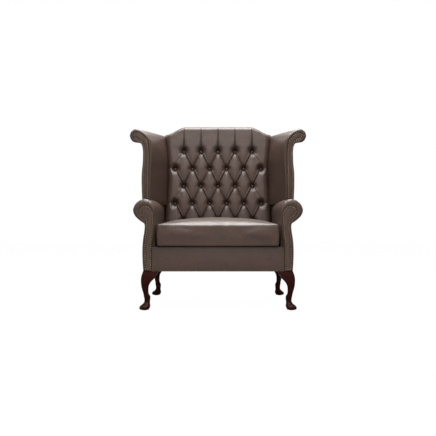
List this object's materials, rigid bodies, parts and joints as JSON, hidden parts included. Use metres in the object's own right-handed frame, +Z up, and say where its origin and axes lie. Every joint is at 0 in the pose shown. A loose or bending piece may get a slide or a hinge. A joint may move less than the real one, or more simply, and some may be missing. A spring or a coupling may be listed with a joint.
{
  "type": "wing loveseat",
  "caption": "Leather wing loveseat with a deep-buttoned camel back, scroll arms and wings, nailed facings, a loose wide seat cushion and cabriole legs.",
  "frame": {"origin": "middle of the overall footprint, at floor level", "axes": "+Z up, the front faces -Y, and +X points to the right of someone who looks at the front"},
  "size_m": [1.026, 0.805, 1.075],
  "materials": {
    "leather": "semi-gloss, dark brown, buttoned and nailed",
    "mahogany": "polished dark red mahogany stain",
    "beech": "sawn and planed, unfinished",
    "foam": "open-cell foam and fibre stuffing",
    "webbing": "woven elastic webbing",
    "hessian": "plain jute weave",
    "deck_cloth": "brown upholstery lining cloth",
    "dust_cloth": "black non-woven",
    "spring_steel": "oiled spring steel",
    "zinc_steel": "zinc plated",
    "zip_tape": "dark brown woven tape",
    "zip_metal": "antique brass",
    "glide_nylon": "moulded nylon"
  },
  "bodies": {
    "seat_frame": {"arm_board_left": "beech", "arm_board_right": "beech", "arm_cover_left": "leather", "arm_cover_right": "leather", "arm_facing_left": "leather", "arm_facing_right": "leather", "arm_pad_left": "foam", "arm_pad_right": "foam", "arm_post_left": "beech", "arm_post_right": "beech", "arm_stuffing_rail_left": "beech", "arm_stuffing_rail_right": "beech", "back_buttons": "leather", "back_foam": "foam", "back_lower_rail": "beech", "back_post_left": "beech", "back_post_right": "beech", "back_seat_rail": "beech", "back_top_rail": "beech", "back_webbing": "webbing", "corner_blocks": "beech", "deck_cloth": "deck_cloth", "dust_cover": "dust_cloth", "foot_glides": "glide_nylon", "frame_dowels": "beech", "front_border": "leather", "front_leg_left": "mahogany", "front_leg_right": "mahogany", "front_seat_rail": "beech", "inside_back_cover": "leather", "leg_bolts": "zinc_steel", "leg_nuts": "zinc_steel", "outside_back_cover": "leather", "rear_leg_left": "mahogany", "rear_leg_right": "mahogany", "seat_hessian": "hessian", "seat_pad": "foam", "seat_springs": "spring_steel", "side_seat_rail_left": "beech", "side_seat_rail_right": "beech", "spring_clips": "spring_steel", "wing_cover_left": "leather", "wing_cover_right": "leather", "wing_facing_left": "leather", "wing_facing_right": "leather", "wing_pad_left": "foam", "wing_pad_right": "foam", "wing_post_left": "beech", "wing_post_right": "beech", "wing_top_rail_left": "beech", "wing_top_rail_right": "beech"},
    "seat_cushion": {"seat_cushion_cover": "leather", "seat_cushion_core": "foam", "cushion_zip": "zip_tape"},
    "zip_slider": {"zip_slider": "zip_metal"}
  },
  "joints": [
    {"name": "cushion_lift", "type": "slide", "parent": "seat_frame", "child": "seat_cushion", "axis": [0, 0, 1], "range_m": [0, 0.8]},
    {"name": "zip_slide", "type": "slide", "parent": "seat_cushion", "child": "zip_slider", "axis": [1, 0, 0], "range_m": [0, 0.499]}
  ]
}
